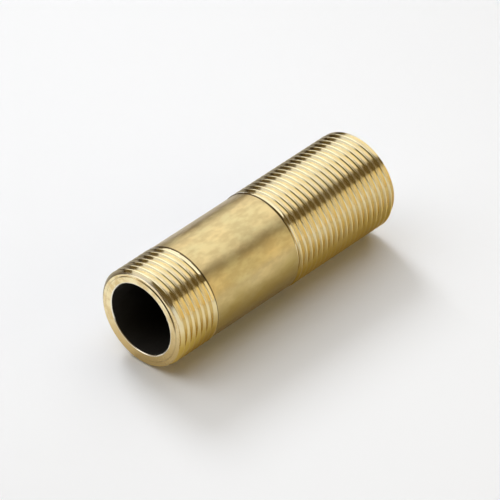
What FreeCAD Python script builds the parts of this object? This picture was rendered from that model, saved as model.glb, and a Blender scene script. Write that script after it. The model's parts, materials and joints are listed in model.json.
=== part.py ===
import FreeCAD, Part

# Brass barrel nipple: one length of thick-walled brass tube, turned to length, with a short male pipe
# thread on one end, a long one on the other and a plain barrel between them. It is a single piece.
# Frame: +X runs along the tube to the long-threaded end and +Z is up, with the tube lying on its side.
# The origin is on the tube's axis, halfway along it.

import math
import os

# Tube, in millimetres
overall_length = 98.5
barrel_diameter = 32.8
bore_diameter = 24.5
bore_edge_chamfer = 0.2        # 45 degree bevel at each mouth of the bore
face_ring_diameter = 28.7      # low ring left standing round each mouth of the bore
face_ring_height = 0.25        # its outer edge falls away at 45 degrees
end_chamfer_height = 0.55      # lead-in bevel from the crests down to each end face, radially
end_chamfer_length = 0.8       # and along the tube

# Parallel pipe thread of size 1, right hand, the same form on both ends
thread_major_diameter = 33.249
threads_per_inch = 11.0
thread_angle = 55.0            # between the flanks, in degrees
crest_land = 0.1               # narrow cylinder left along the top of the rounded crest
shoulder_length = 0.2          # step from the crests down to the barrel, at about 45 degrees

# Each thread is measured from its own end face to the end of its crests. Its groove backs out of the
# metal over the last turns, and the tool is clear of it a little way past the crests. The angle there
# goes round the axis from straight down, clockwise as seen from the thread's end face.
runout_reach = 0.7
short_thread_length = 16.6
short_runout_turns = 1.0
short_runout_angle = 318.0
long_thread_length = 44.8
long_runout_turns = 0.5
long_runout_angle = 212.5

# How the cutter reaches past the metal, and how closely faces are matched when it cuts
cutter_height = 0.6
runout_clearance = 0.05
cut_tolerance = 0.0001

# Thread form
mm_per_inch = 25.4
pitch = mm_per_inch / threads_per_inch
flank_angle = math.radians(thread_angle / 2.0)
sharp_height = pitch / (2.0 * math.tan(flank_angle))
thread_depth = sharp_height * 2.0 / 3.0
thread_rounding = sharp_height / 6.0 / (1.0 / math.sin(flank_angle) - 1.0)
crest_radius = thread_major_diameter / 2.0
root_radius = crest_radius - thread_depth
land_slope = math.asin(crest_land / 2.0 / thread_rounding)
land_radius = crest_radius - thread_rounding * (1.0 - math.cos(land_slope))
short_groove_length = short_thread_length + runout_reach
long_groove_length = long_thread_length + runout_reach

# The tube is made standing. When it is laid down, the side facing +X here comes to face straight down.
centre = FreeCAD.Vector(0, 0, 0)
upright = FreeCAD.Vector(0, 0, 1)
forwards = FreeCAD.Vector(1, 0, 0)
sideways = FreeCAD.Vector(0, 1, 0)


def point(radius, height):
    """A point of a section through the axis, which stands upright while the tube is made."""
    return FreeCAD.Vector(radius, 0, height)


def line(start, end):
    return Part.LineSegment(start, end).toShape()


def arc(start, middle, end):
    return Part.Arc(start, middle, end).toShape()


def tube():
    """The tube before threading, standing on its short-threaded end."""
    bottom = -overall_length / 2.0
    top = overall_length / 2.0
    lower_rim = bottom + face_ring_height
    upper_rim = top - face_ring_height
    bore = bore_diameter / 2.0
    barrel = barrel_diameter / 2.0
    mouth = bore + bore_edge_chamfer
    ring = face_ring_diameter / 2.0
    ring_foot = ring + face_ring_height
    face_edge = land_radius - end_chamfer_height
    lower_crests = lower_rim + end_chamfer_length
    upper_crests = upper_rim - end_chamfer_length
    barrel_bottom = bottom + short_thread_length
    barrel_top = top - long_thread_length

    outline = [
        line(point(mouth, bottom), point(ring, bottom)),
        line(point(ring, bottom), point(ring_foot, lower_rim)),
        line(point(ring_foot, lower_rim), point(face_edge, lower_rim)),
        line(point(face_edge, lower_rim), point(land_radius, lower_crests)),
        line(point(land_radius, lower_crests), point(land_radius, barrel_bottom)),
        line(point(land_radius, barrel_bottom), point(barrel, barrel_bottom + shoulder_length)),
        line(point(barrel, barrel_bottom + shoulder_length), point(barrel, barrel_top - shoulder_length)),
        line(point(barrel, barrel_top - shoulder_length), point(land_radius, barrel_top)),
        line(point(land_radius, barrel_top), point(land_radius, upper_crests)),
        line(point(land_radius, upper_crests), point(face_edge, upper_rim)),
        line(point(face_edge, upper_rim), point(ring_foot, upper_rim)),
        line(point(ring_foot, upper_rim), point(ring, top)),
        line(point(ring, top), point(mouth, top)),
        line(point(mouth, top), point(bore, top - bore_edge_chamfer)),
        line(point(bore, top - bore_edge_chamfer), point(bore, bottom + bore_edge_chamfer)),
        line(point(bore, bottom + bore_edge_chamfer), point(mouth, bottom)),
    ]
    return Part.Face(Part.Wire(outline)).revolve(centre, upright, 360)


def groove_section():
    """Section of the groove cutter: root, flanks, and half of the crest on each side."""
    root_centre = root_radius + thread_rounding
    crest_centre = crest_radius - thread_rounding
    tangent = math.pi / 2.0 - flank_angle

    def root_point(angle):
        reach = thread_rounding * math.sin(angle)
        return point(root_centre - thread_rounding * math.cos(angle), reach)

    def crest_point(side, angle):
        reach = pitch / 2.0 - thread_rounding * math.sin(angle)
        return point(crest_centre + thread_rounding * math.cos(angle), side * reach)

    def crest_arc(side):
        middle = (land_slope + tangent) / 2.0
        return arc(crest_point(side, land_slope), crest_point(side, middle), crest_point(side, tangent))

    land_edge = (pitch - crest_land) / 2.0
    outer_radius = land_radius + cutter_height
    return Part.Wire([
        crest_arc(-1),
        line(crest_point(-1, tangent), root_point(-tangent)),
        arc(root_point(-tangent), root_point(0), root_point(tangent)),
        line(root_point(tangent), crest_point(1, tangent)),
        crest_arc(1),
        line(crest_point(1, land_slope), point(outer_radius, land_edge)),
        line(point(outer_radius, land_edge), point(outer_radius, -land_edge)),
        line(point(outer_radius, -land_edge), crest_point(-1, land_slope)),
    ])


def swept(height, lift):
    """Groove cutter swept up a right-hand helix, moving outwards by lift on its way."""
    spread = math.atan2(lift, height)
    slant = 1.0 / math.cos(spread)      # a conical helix is measured along its cone
    path = Part.makeHelix(pitch * slant, height * slant, crest_radius, math.degrees(spread))
    shell = Part.BRepOffsetAPI.MakePipeShell(Part.Wire(path.Edges))
    shell.setBiNormalMode(upright)
    shell.add(groove_section())
    shell.build()
    shell.makeSolid()
    return shell.shape()


def thread_cutters(length, runout_turns, runout_angle):
    """The full-depth groove and its run-out, for an end face at height 0 with the tube above it."""
    runout_height = runout_turns * pitch
    full_height = length - runout_height
    start_height = -pitch
    runout_start = runout_angle - 360.0 * runout_turns
    turns_below = (full_height - start_height) / pitch

    groove = swept(full_height - start_height, 0)
    groove.rotate(centre, upright, runout_start - 360.0 * turns_below)
    groove.translate(FreeCAD.Vector(0, 0, start_height))

    runout = swept(runout_height, thread_depth + runout_clearance)
    runout.rotate(centre, upright, runout_start)
    runout.translate(FreeCAD.Vector(0, 0, full_height))
    return [groove, runout]


def nipple():
    """The finished nipple, laid down along X."""
    half_length = overall_length / 2.0
    shape = tube()
    for cutter in thread_cutters(short_groove_length, short_runout_turns, short_runout_angle):
        cutter.translate(FreeCAD.Vector(0, 0, -half_length))
        shape = shape.cut([cutter], cut_tolerance)
    for cutter in thread_cutters(long_groove_length, long_runout_turns, long_runout_angle):
        cutter.rotate(centre, forwards, 180)
        cutter.translate(FreeCAD.Vector(0, 0, half_length))
        shape = shape.cut([cutter], cut_tolerance)
    shape.rotate(centre, sideways, 90)
    return shape.Solids[0]


os.makedirs("parts", exist_ok=True)
nipple().exportStep("parts/nipple.step")
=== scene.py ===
import json
import math

import bmesh
import bpy
from mathutils import Matrix, Vector


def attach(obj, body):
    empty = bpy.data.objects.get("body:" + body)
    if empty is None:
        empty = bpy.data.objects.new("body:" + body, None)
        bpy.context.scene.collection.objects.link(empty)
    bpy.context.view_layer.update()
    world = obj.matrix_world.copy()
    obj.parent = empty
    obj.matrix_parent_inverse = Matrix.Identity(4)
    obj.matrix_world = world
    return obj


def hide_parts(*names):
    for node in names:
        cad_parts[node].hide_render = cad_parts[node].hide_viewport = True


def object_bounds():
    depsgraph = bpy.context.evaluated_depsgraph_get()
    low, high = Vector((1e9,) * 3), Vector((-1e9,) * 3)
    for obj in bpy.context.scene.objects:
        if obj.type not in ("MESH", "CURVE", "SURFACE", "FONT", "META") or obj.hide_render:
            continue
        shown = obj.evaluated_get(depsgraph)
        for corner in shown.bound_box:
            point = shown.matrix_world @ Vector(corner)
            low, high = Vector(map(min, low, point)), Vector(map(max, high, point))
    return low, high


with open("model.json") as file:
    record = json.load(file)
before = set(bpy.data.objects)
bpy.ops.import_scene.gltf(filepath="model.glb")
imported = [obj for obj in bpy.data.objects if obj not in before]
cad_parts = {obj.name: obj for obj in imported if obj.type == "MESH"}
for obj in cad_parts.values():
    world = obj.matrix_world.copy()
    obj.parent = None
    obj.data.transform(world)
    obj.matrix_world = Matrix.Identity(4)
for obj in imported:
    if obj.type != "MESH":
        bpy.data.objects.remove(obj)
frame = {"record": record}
cad_low, cad_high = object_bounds()


# ---- Tube blank ----
# The nipple is one length of thick-walled brass tube. A lathe faces both ends, bevels their outer rims
# and breaks the edges of the bore. The barrel between the threads is a little thinner than their crests.
mm = 0.001
mounts = {mount["name"]: mount for mount in frame["record"]["mounts"]}


def mount_size(mount, size):
    return mounts[mount]["dims"][size] * mm


short_thread_length = mount_size("short_thread", "length_mm")
long_thread_length = mount_size("long_thread", "length_mm")
crest_radius = mount_size("short_thread", "r_mm")
barrel_radius = mount_size("barrel", "r_mm")
bore_radius = mount_size("bore", "r_mm")
half_length = cad_high.x
rim_radius = cad_high.z
face_ring_radius = 14.35 * mm
face_ring_height = 0.25 * mm
end_chamfer_height = 0.55 * mm
end_chamfer_length = 0.8 * mm
bore_edge_chamfer = 0.2 * mm
shoulder_length = 0.2 * mm
runout_strip = 1 * mm
facets = 144
tiny = 0.01 * mm
weld_distance = 0.002 * mm


def off_axis(place):
    return math.hypot(place.y, place.z)


def near(value, wanted):
    return abs(value - wanted) < tiny


def select_faces(wanted):
    bpy.ops.mesh.select_all(action="DESELECT")
    mesh = bmesh.from_edit_mesh(bpy.context.object.data)
    for face in mesh.faces:
        if wanted(face.calc_center_median(), face.normal):
            face.select_set(True)
    mesh.select_flush_mode()
    bmesh.update_edit_mesh(bpy.context.object.data)


def select_edges(wanted):
    bpy.ops.mesh.select_all(action="DESELECT")
    mesh = bmesh.from_edit_mesh(bpy.context.object.data)
    for edge in mesh.edges:
        edge.select_set(wanted((edge.verts[0].co + edge.verts[1].co) / 2))
    mesh.select_flush_mode()
    bmesh.update_edit_mesh(bpy.context.object.data)


bpy.ops.object.select_all(action="DESELECT")
bpy.ops.mesh.primitive_cylinder_add(
    vertices=facets,
    radius=rim_radius,
    depth=2 * (half_length - face_ring_height - end_chamfer_length),
    end_fill_type="NGON",
    rotation=(0, math.radians(90), 0),
)
nipple = bpy.context.object
nipple.name = "threaded_nipple"
bpy.ops.object.transform_apply(location=True, rotation=True, scale=True)

bpy.ops.object.mode_set(mode="EDIT")
bpy.ops.mesh.select_mode(type="FACE")
select_faces(lambda centre, normal: abs(normal.x) > 0.9)
bpy.ops.mesh.inset(thickness=end_chamfer_height, depth=end_chamfer_length)
bpy.ops.mesh.inset(thickness=rim_radius - end_chamfer_height - face_ring_radius - face_ring_height)
bpy.ops.mesh.inset(thickness=face_ring_height, depth=face_ring_height)
bpy.ops.mesh.inset(thickness=face_ring_radius - bore_radius)
bpy.ops.mesh.bridge_edge_loops()

bpy.ops.mesh.select_mode(type="EDGE")
select_edges(lambda middle: near(abs(middle.x), half_length) and near(off_axis(middle), bore_radius))
bpy.ops.mesh.bevel(offset=bore_edge_chamfer, segments=1)

barrel_start = short_thread_length - half_length
barrel_end = half_length - long_thread_length
barrel_ends = (barrel_start + shoulder_length, barrel_end - shoulder_length)

# A ring of edges just inside each end of the barrel keeps its shading even where the grooves run out.
strip_ends = (barrel_ends[0] + runout_strip, barrel_ends[1] - runout_strip)
for place in (barrel_start, *barrel_ends, *strip_ends, barrel_end):
    select_faces(lambda centre, normal: off_axis(centre) > rim_radius - tiny)
    bpy.ops.mesh.bisect(plane_co=(place, 0, 0), plane_no=(1, 0, 0))
select_edges(
    lambda middle: off_axis(middle) > rim_radius - tiny
    and barrel_ends[0] - tiny < middle.x < barrel_ends[1] + tiny
)
thinner = barrel_radius / rim_radius
bpy.ops.transform.resize(value=(1, thinner, thinner), center_override=(0, 0, 0))
bpy.ops.object.mode_set(mode="OBJECT")


# ---- Threads ----
# A threading tool cuts a right-hand pipe thread into each end: 11 grooves to the inch, 55 degrees
# between the flanks, rounded at root and crest. The tool backs out of the metal at the barrel.
pitch = 25.4 / 11 * mm
flank_angle = math.radians(55 / 2)
sharp_height = pitch / 2 / math.tan(flank_angle)
thread_depth = sharp_height * 2 / 3
thread_rounding = sharp_height / 6 / (1 / math.sin(flank_angle) - 1)
root_radius = crest_radius - thread_depth
crest_land = 0.1 * mm
cutter_height = 0.6 * mm
runout_clearance = 0.05 * mm
facet_angle = math.radians(360 / facets)
facet_advance = pitch / facets


def arc_of_tool(middle, inwards, angles):
    """Points round the tool's edge as (place along the tube, distance from its axis)."""
    along, out = middle
    turn = -1 if inwards else 1
    return [
        (along + thread_rounding * math.sin(angle), out + turn * thread_rounding * math.cos(angle))
        for angle in angles
    ]


def spread(first, last, pieces):
    return [first + (last - first) * step / pieces for step in range(pieces + 1)]


def tool_outline():
    """Half a crest, a flank, the root, a flank and half a crest; the crests end just clear of the tube."""
    flank_start = math.pi / 2 - flank_angle
    crest_end = math.asin(crest_land / 2 / thread_rounding) / 2
    crest_middle = crest_radius - thread_rounding
    land_edge = pitch / 2 - thread_rounding * math.sin(crest_end)
    top = rim_radius + cutter_height
    return [
        (-land_edge, top),
        *arc_of_tool((-pitch / 2, crest_middle), False, spread(crest_end, flank_start, 4)),
        *arc_of_tool((0, root_radius + thread_rounding), True, spread(-flank_start, flank_start, 6)),
        *arc_of_tool((pitch / 2, crest_middle), False, spread(-flank_start, -crest_end, 4)),
        (land_edge, top),
    ]


def thread_cutter(groove_length, runout_turns, runout_angle):
    """The space that the tool sweeps from the end face at -X, with its last turns backing out."""
    runout_facets = round(runout_turns * facets)
    full_facets = math.ceil((groove_length / pitch + 1) * facets) - runout_facets
    start_angle = math.radians(runout_angle) - (full_facets + runout_facets) * facet_angle
    start_place = groove_length - half_length - (full_facets + runout_facets) * facet_advance
    down, left = -math.cos(start_angle), math.sin(start_angle)
    corners = [(start_place + along, out * left, out * down) for along, out in tool_outline()]
    mesh = bpy.data.meshes.new("cutter")
    mesh.from_pydata(corners, [(n, (n + 1) % len(corners)) for n in range(len(corners))], [])
    cutter = bpy.data.objects.new("cutter", mesh)
    bpy.context.collection.objects.link(cutter)
    bpy.ops.object.select_all(action="DESELECT")
    cutter.select_set(True)
    bpy.context.view_layer.objects.active = cutter

    sweep = cutter.modifiers.new("sweep", "SCREW")
    sweep.axis = "X"
    sweep.angle = full_facets * facet_angle
    sweep.screw_offset = full_facets * facet_advance
    sweep.steps = sweep.render_steps = full_facets
    sweep.use_smooth_shade = False
    bpy.ops.object.modifier_apply(modifier="sweep")

    bpy.ops.object.mode_set(mode="EDIT")
    bpy.ops.mesh.select_all(action="SELECT")
    bpy.ops.mesh.fill_holes(sides=0)
    end_place = start_place + full_facets * facet_advance
    bpy.ops.mesh.select_mode(type="FACE")
    select_faces(lambda centre, normal: abs(normal.x) < 0.1 and near(centre.x, end_place))
    lift = (thread_depth + runout_clearance) / runout_facets
    for step in range(runout_facets):
        angle = start_angle + (full_facets + step + 1) * facet_angle
        bpy.ops.mesh.extrude_region_move()
        bpy.ops.transform.rotate(value=-facet_angle, orient_axis="X", center_override=(0, 0, 0))
        bpy.ops.transform.translate(value=(facet_advance, lift * math.sin(angle), -lift * math.cos(angle)))
    bpy.ops.mesh.select_all(action="SELECT")
    bpy.ops.mesh.normals_make_consistent(inside=False)
    bpy.ops.object.mode_set(mode="OBJECT")
    return cutter


def cut_with(cutter):
    cut = nipple.modifiers.new("cut", "BOOLEAN")
    cut.operation = "DIFFERENCE"
    cut.solver = "EXACT"
    cut.object = cutter
    bpy.ops.object.select_all(action="DESELECT")
    bpy.context.view_layer.objects.active = nipple
    bpy.ops.object.modifier_apply(modifier="cut")
    bpy.data.objects.remove(cutter)


# The angles at which the tool leaves the metal are no multiples of a facet's angle, so the edges of the
# cutters never fall on the edges of the tube.
runout_reach = 0.7 * mm
short_cutter = thread_cutter(short_thread_length + runout_reach, runout_turns=1, runout_angle=318)
cut_with(short_cutter)
long_cutter = thread_cutter(long_thread_length + runout_reach, runout_turns=0.5, runout_angle=212.9)
bpy.ops.object.select_all(action="DESELECT")
long_cutter.select_set(True)
bpy.ops.transform.rotate(value=math.pi, orient_axis="Z", center_override=(0, 0, 0))
bpy.ops.object.transform_apply(location=True, rotation=True, scale=True)
cut_with(long_cutter)

bpy.ops.object.mode_set(mode="EDIT")
bpy.ops.mesh.select_all(action="SELECT")
bpy.ops.mesh.remove_doubles(threshold=weld_distance)
bpy.ops.mesh.dissolve_degenerate(threshold=weld_distance)
bpy.ops.object.mode_set(mode="OBJECT")
nipple.select_set(True)
bpy.ops.object.shade_smooth_by_angle(angle=math.radians(32))

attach(nipple, "root")
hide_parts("nipple")


# ---- Finish ----
# Nothing on the real brass is plated or painted. The cut threads and end faces are pale and bright, their
# grooves painted paler as light; the barrel has the duller, cloudy skin of drawn tube; the bore is painted
# near black as shade; the underside and back are browner with painted shade.
def new_material(name):
    material = bpy.data.materials.new(name)
    material.use_nodes = True
    return material.node_tree, material.node_tree.nodes["Principled BSDF"]


def new_group(name, output, kind):
    """An empty effect with one output, and the node that takes it."""
    group = bpy.data.node_groups.new(name, "ShaderNodeTree")
    group.interface.new_socket(name=output, in_out="OUTPUT", socket_type=kind)
    return group, group.nodes.new("NodeGroupOutput")


def use_group(tree, group):
    node = tree.nodes.new("ShaderNodeGroup")
    node.node_tree = group
    return node.outputs[0]


def place_on_nipple(tree, scale):
    """Places on the nipple, stretched by scale along each axis."""
    coordinates = tree.nodes.new("ShaderNodeTexCoord")
    mapping = tree.nodes.new("ShaderNodeMapping")
    mapping.inputs["Scale"].default_value = scale
    tree.links.new(coordinates.outputs["Object"], mapping.inputs["Vector"])
    return mapping.outputs["Vector"]


def noise(tree, place, scale, detail, roughness=0.5):
    texture = tree.nodes.new("ShaderNodeTexNoise")
    texture.inputs["Scale"].default_value = scale
    texture.inputs["Detail"].default_value = detail
    texture.inputs["Roughness"].default_value = roughness
    tree.links.new(place, texture.inputs["Vector"])
    return texture.outputs["Fac"]


def remap(tree, value, low, high, new_low, new_high):
    """Value from low to high, eased into the range from new_low to new_high."""
    node = tree.nodes.new("ShaderNodeMapRange")
    node.interpolation_type = "SMOOTHSTEP"
    node.inputs["From Min"].default_value = low
    node.inputs["From Max"].default_value = high
    node.inputs["To Min"].default_value = new_low
    node.inputs["To Max"].default_value = new_high
    tree.links.new(value, node.inputs["Value"])
    return node.outputs["Result"]


def blend(tree, share, first, second):
    """Colour first where share is 0 and second where it is 1; either may be a socket or a colour."""
    node = tree.nodes.new("ShaderNodeMix")
    node.data_type = "RGBA"
    tree.links.new(share, node.inputs["Factor"])
    for colour, socket in ((first, node.inputs["A"]), (second, node.inputs["B"])):
        if isinstance(colour, tuple):
            socket.default_value = colour
        else:
            tree.links.new(colour, socket)
    return node.outputs["Result"]


def bumped(tree, height, distance, shader):
    node = tree.nodes.new("ShaderNodeBump")
    node.inputs["Distance"].default_value = distance
    tree.links.new(height, node.inputs["Height"])
    tree.links.new(node.outputs["Normal"], shader.inputs["Normal"])


def added(tree, first, second, share):
    """First plus share times second."""
    node = tree.nodes.new("ShaderNodeMath")
    node.operation = "MULTIPLY_ADD"
    node.inputs[1].default_value = share
    tree.links.new(second, node.inputs[0])
    tree.links.new(first, node.inputs[2])
    return node.outputs["Value"]


def distance_off_axis(tree):
    node = tree.nodes.new("ShaderNodeVectorMath")
    node.operation = "LENGTH"
    tree.links.new(place_on_nipple(tree, (0, 1, 1)), node.inputs[0])
    return node.outputs["Value"]


def towards_side(tree, direction):
    """From -1 to 1 round the crests: 1 on the side that the direction points to."""
    node = tree.nodes.new("ShaderNodeVectorMath")
    node.operation = "DOT_PRODUCT"
    tree.links.new(place_on_nipple(tree, (1, 1, 1)), node.inputs[0])
    node.inputs[1].default_value = Vector(direction).normalized() / crest_radius
    return node.outputs["Value"]


# Soft clouds about a centimetre across, from handling and uneven oxide.
brass_clouds, ending = new_group("brass_clouds", "Cloud", "NodeSocketFloat")
cloud = noise(brass_clouds, place_on_nipple(brass_clouds, (0.6, 1, 1)), 120, 3)
brass_clouds.links.new(remap(brass_clouds, cloud, 0.3, 0.7, 0, 1), ending.inputs["Cloud"])

# Painted shade on the underside, tilted a little to the front: browner, with a ragged edge.
painted_underside_shade, ending = new_group("painted_underside_shade", "Underside shade", "NodeSocketFloat")
ragged = noise(painted_underside_shade, place_on_nipple(painted_underside_shade, (0.5, 1, 1)), 200, 4)
edge = added(painted_underside_shade, towards_side(painted_underside_shade, (0, -0.35, -0.94)), ragged, 0.5)
painted_underside_shade.links.new(remap(painted_underside_shade, edge, -0.1, 0.9, 0, 1), ending.inputs["Underside shade"])

# Painted shade on the back, a little above the side: brown, for the dark surroundings that it reflects.
painted_back_shade, ending = new_group("painted_back_shade", "Back shade", "NodeSocketFloat")
ragged = noise(painted_back_shade, place_on_nipple(painted_back_shade, (0.5, 1, 1)), 500, 4)
edge = added(painted_back_shade, towards_side(painted_back_shade, (0, 0.94, 0.34)), ragged, 0.3)
painted_back_shade.links.new(remap(painted_back_shade, edge, 0.72, 0.92, 0, 1), ending.inputs["Back shade"])

# Fine rings that the cutting tool leaves round the axis.
tool_rings, ending = new_group("tool_rings", "Height", "NodeSocketFloat")
rings = tool_rings.nodes.new("ShaderNodeCombineXYZ")
along = tool_rings.nodes.new("ShaderNodeSeparateXYZ")
tool_rings.links.new(place_on_nipple(tool_rings, (1, 1, 1)), along.inputs["Vector"])
tool_rings.links.new(along.outputs["X"], rings.inputs["X"])
tool_rings.links.new(distance_off_axis(tool_rings), rings.inputs["Y"])
tool_rings.links.new(noise(tool_rings, rings.outputs["Vector"], 3500, 2), ending.inputs["Height"])

# Threads and bevels, bright from the tool, with the grooves painted paler than the crests as light bounced
# between the flanks.
cut_brass, shader = new_material("cut_brass")
shader.inputs["Metallic"].default_value = 1
height_up_thread = remap(cut_brass, distance_off_axis(cut_brass), root_radius, crest_radius, 0, 1)
cloud = use_group(cut_brass, brass_clouds)
# Painted light: the grooves paler than the crests.
groove_colour = blend(cut_brass, cloud, (0.90, 0.82, 0.62, 1), (0.88, 0.82, 0.66, 1))
crest_colour = blend(cut_brass, cloud, (0.91, 0.81, 0.53, 1), (0.89, 0.81, 0.56, 1))
colour = blend(cut_brass, height_up_thread, groove_colour, crest_colour)
# Painted shade on the underside of the threads.
thread_underside_shade = (0.66, 0.46, 0.10, 1)
colour = blend(cut_brass, use_group(cut_brass, painted_underside_shade), colour, thread_underside_shade)
# Painted shade on the back of the threads, less of it up the crests.
thread_back_shade = (0.15, 0.10, 0.04, 1)
back_shade = added(cut_brass, use_group(cut_brass, painted_back_shade), height_up_thread, -0.3)
colour = blend(cut_brass, back_shade, colour, thread_back_shade)
cut_brass.links.new(colour, shader.inputs["Base Color"])
roughness = remap(cut_brass, height_up_thread, 0, 0.7, 0.22, 0.09)
roughness = added(cut_brass, roughness, cloud, 0.05)
cut_brass.links.new(roughness, shader.inputs["Roughness"])
bumped(cut_brass, use_group(cut_brass, tool_rings), 0.006 * mm, shader)

# The barrel, with scuffs along it.
drawn_brass, shader = new_material("drawn_brass")
shader.inputs["Metallic"].default_value = 1
cloud = use_group(drawn_brass, brass_clouds)
colour = blend(drawn_brass, cloud, (0.82, 0.65, 0.33, 1), (0.75, 0.66, 0.36, 1))
small_clouds = noise(drawn_brass, place_on_nipple(drawn_brass, (0.5, 1, 1)), 420, 4)
darker = remap(drawn_brass, small_clouds, 0.35, 0.65, 0.6, 0)
dull_patch = (0.56, 0.44, 0.22, 1)
colour = blend(drawn_brass, darker, colour, dull_patch)
# Painted shade on the underside of the barrel.
barrel_underside_shade = (0.42, 0.29, 0.06, 1)
colour = blend(drawn_brass, use_group(drawn_brass, painted_underside_shade), colour, barrel_underside_shade)
# Painted shade on the back of the barrel.
barrel_back_shade = (0.45, 0.34, 0.16, 1)
colour = blend(drawn_brass, use_group(drawn_brass, painted_back_shade), colour, barrel_back_shade)

# Painted shade at the foot of the step at each end of the barrel.
step_foot_shade = (0.08, 0.05, 0.025, 1)
along = drawn_brass.nodes.new("ShaderNodeSeparateXYZ")
drawn_brass.links.new(place_on_nipple(drawn_brass, (1, 1, 1)), along.inputs["Vector"])
short_foot = (barrel_ends[0] + 0.1 * mm, barrel_ends[0] + 0.4 * mm)
long_foot = (barrel_ends[1] - 0.3 * mm, barrel_ends[1] - 0.1 * mm)
corner_shade = added(
    drawn_brass,
    remap(drawn_brass, along.outputs["X"], *short_foot, 0.9, 0),
    remap(drawn_brass, along.outputs["X"], *long_foot, 0, 0.9),
    1,
)
colour = blend(drawn_brass, corner_shade, colour, step_foot_shade)
drawn_brass.links.new(colour, shader.inputs["Base Color"])
scuffs = noise(drawn_brass, place_on_nipple(drawn_brass, (0.04, 1, 1)), 1500, 3, 0.7)
roughness = remap(drawn_brass, cloud, 0, 1, 0.27, 0.34)
roughness = added(drawn_brass, roughness, scuffs, 0.08)
drawn_brass.links.new(roughness, shader.inputs["Roughness"])
waves = noise(drawn_brass, place_on_nipple(drawn_brass, (1, 1, 1)), 110, 1)
bumped(drawn_brass, added(drawn_brass, waves, scuffs, 0.06), 0.22 * mm, shader)

# The end faces, with a few stains.
faced_brass, shader = new_material("faced_brass")
shader.inputs["Metallic"].default_value = 1
cloud = use_group(faced_brass, brass_clouds)
stains = noise(faced_brass, place_on_nipple(faced_brass, (1, 1, 1)), 230, 4, 0.6)
stained = remap(faced_brass, stains, 0.4, 0.65, 0, 1)
colour = blend(faced_brass, stained, (0.95, 0.82, 0.50, 1), (0.76, 0.58, 0.28, 1))
# Painted shade on the lower part of the end faces.
face_underside_shade = (0.62, 0.45, 0.19, 1)
colour = blend(faced_brass, use_group(faced_brass, painted_underside_shade), colour, face_underside_shade)

# Painted shade in the corner outside the face ring, thickest along its upper front part.
ring_corner_shade = (0.18, 0.12, 0.05, 1)
ring_foot = face_ring_radius + face_ring_height
off_axis_here = distance_off_axis(faced_brass)
ring_edge = (face_ring_radius - 0.1 * mm, face_ring_radius + 0.05 * mm)
shade_edge = (ring_foot, ring_foot + 0.4 * mm)
outside_ring = remap(faced_brass, off_axis_here, *ring_edge, 0, 1)
inside_rim = remap(faced_brass, off_axis_here, *shade_edge, 1, 0)
shaded_part = remap(faced_brass, towards_side(faced_brass, (0, -0.6, 0.8)), 0.55, 0.78, 0.3, 1)
corner_shade = added(faced_brass, added(faced_brass, inside_rim, outside_ring, 1), shaded_part, 1)
colour = blend(faced_brass, remap(faced_brass, corner_shade, 2, 3, 0, 0.9), colour, ring_corner_shade)

# A painted highlight on the bevel at the mouth of the bore and a little of the face round it.
mouth_highlight = (0.97, 0.91, 0.76, 1)
mouth_edge = bore_radius + bore_edge_chamfer
mouth_highlight_share = remap(faced_brass, off_axis_here, mouth_edge + 0.05 * mm, mouth_edge + 0.25 * mm, 1, 0)
colour = blend(faced_brass, mouth_highlight_share, colour, mouth_highlight)
faced_brass.links.new(colour, shader.inputs["Base Color"])
roughness = remap(faced_brass, cloud, 0, 1, 0.18, 0.28)
faced_brass.links.new(roughness, shader.inputs["Roughness"])
bumped(faced_brass, use_group(faced_brass, tool_rings), 0.02 * mm, shader)

# The bore, dull, and painted near black as the shade inside it.
bore_painted_shade, shader = new_material("bore_painted_shade")
grime = noise(bore_painted_shade, place_on_nipple(bore_painted_shade, (0.3, 1, 1)), 300, 4)
colour = blend(bore_painted_shade, grime, (0.006, 0.005, 0.004, 1), (0.014, 0.011, 0.008, 1))
bore_painted_shade.links.new(colour, shader.inputs["Base Color"])
bore_painted_shade.links.new(remap(bore_painted_shade, grime, 0.3, 0.7, 0.6, 0.85), shader.inputs["Roughness"])
bumped(bore_painted_shade, use_group(bore_painted_shade, tool_rings), 0.03 * mm, shader)

finishes = ("cut_brass", "drawn_brass", "faced_brass", "bore_painted_shade")
for name in finishes:
    nipple.data.materials.append(bpy.data.materials[name])
for face in nipple.data.polygons:
    centre = face.center
    if off_axis(centre) < bore_radius:
        face.material_index = finishes.index("bore_painted_shade")
    elif abs(centre.x) > half_length - face_ring_height - tiny:
        face.material_index = finishes.index("faced_brass")
    elif barrel_start < centre.x < barrel_end:
        face.material_index = finishes.index("drawn_brass")


# ---- Floor, lights and camera ----
# The nipple lies on a sheet of cool white paper. A large soft box stands over it, a second behind it and
# a warm one in front. The paper has a lamp of its own, which keeps it white and lights nothing else.
paper_size = 4
bpy.ops.mesh.primitive_plane_add(size=paper_size, location=(0, 0, -crest_radius))
floor = bpy.context.object
floor.name = "floor"
bpy.ops.object.transform_apply(location=True, rotation=True, scale=True)
shader = new_material("floor_paper")[1]
shader.inputs["Base Color"].default_value = (0.87, 0.91, 0.98, 1)
shader.inputs["Roughness"].default_value = 1
shader.inputs["Specular IOR Level"].default_value = 0
floor.data.materials.append(bpy.data.materials["floor_paper"])

camera_azimuth = math.radians(-47.516)
camera_elevation = math.radians(36.93)
camera_distance = 1.6072
camera_aim = (-0.124 * mm, -0.745 * mm)
back = Vector(
    (
        math.sin(camera_azimuth) * math.cos(camera_elevation),
        -math.cos(camera_azimuth) * math.cos(camera_elevation),
        math.sin(camera_elevation),
    )
)
camera_data = bpy.data.cameras.new("camera")
camera = bpy.data.objects.new("camera", camera_data)
bpy.context.collection.objects.link(camera)
camera_data.lens = 375.3
camera_data.clip_start = 0.01
camera_data.clip_end = 20
facing = (-back).to_track_quat("-Z", "Y")
camera.rotation_mode = "QUATERNION"
camera.rotation_quaternion = facing
camera.location = facing @ Vector((*camera_aim, 0)) + back * camera_distance
bpy.context.scene.camera = camera


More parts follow.
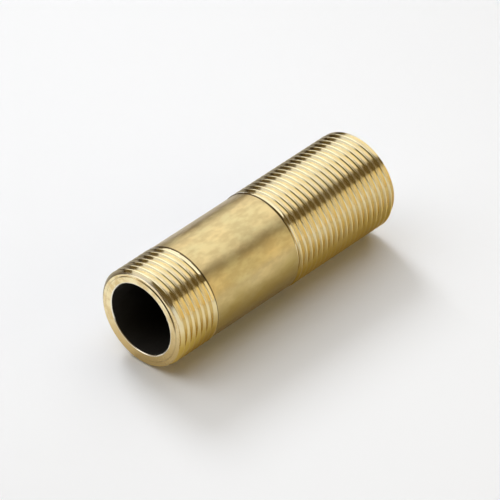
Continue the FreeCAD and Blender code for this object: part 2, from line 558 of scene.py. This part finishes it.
def soft_box(name, towards, across, distance, width, height, radiance):
    """A rectangular lamp facing the nipple, standing at a distance from it in the direction towards.
    Its width runs as near to the direction across as it can."""
    lamp_data = bpy.data.lights.new(name, "AREA")
    lamp_data.shape = "RECTANGLE"
    lamp_data.size = width
    lamp_data.size_y = height
    lamp_data.energy = radiance * math.pi * width * height
    lamp = bpy.data.objects.new(name, lamp_data)
    bpy.context.collection.objects.link(lamp)
    place = Vector(towards).normalized()
    wide = (Vector(across) - place * place.dot(Vector(across))).normalized()
    lamp.location = place * distance
    lamp.rotation_mode = "QUATERNION"
    lamp.rotation_quaternion = Matrix((wide, place.cross(wide), place)).transposed().to_quaternion()
    return lamp


soft_box("top_box", (0.188, 0.430, 0.883), (0.916, -0.401, 0), 1.2, 2.9, 2.48, 1.03)
soft_box("back_box", (-0.59, 0.56, 0.58), (1, 0, 1), 1.4, 2.2, 0.76, 0.7)
front_box = soft_box("front_box", (0.183, -0.951, 0.249), (0.983, 0.166, -0.071), 1.4, 2.5, 1.28, 0.8)
front_box.data.color = (1, 0.88, 0.62)
floor_lamp_data = bpy.data.lights.new("floor_lamp", "SPOT")
floor_lamp_data.energy = 47
floor_lamp_data.shadow_soft_size = 0.3
floor_lamp_data.spot_size = math.radians(26)
floor_lamp_data.spot_blend = 0.6
floor_lamp = bpy.data.objects.new("floor_lamp", floor_lamp_data)
bpy.context.collection.objects.link(floor_lamp)
overhead = Vector((0.3, 0.75, 0.6)).normalized()
floor_lamp_distance = 1.5
floor_lamp.location = overhead * floor_lamp_distance
floor_lamp.rotation_mode = "QUATERNION"
floor_lamp.rotation_quaternion = overhead.to_track_quat("Z", "Y")
lit_floor = bpy.data.collections.new("lit_floor")
lit_floor.objects.link(floor)
floor_lamp.light_linking.receiver_collection = lit_floor

world = bpy.data.worlds.new("studio")
bpy.context.scene.world = world
world.use_nodes = True
world.node_tree.nodes["Background"].inputs["Color"].default_value = (0.13, 0.09, 0.035, 1)
bpy.context.scene.view_settings.view_transform = "Standard"
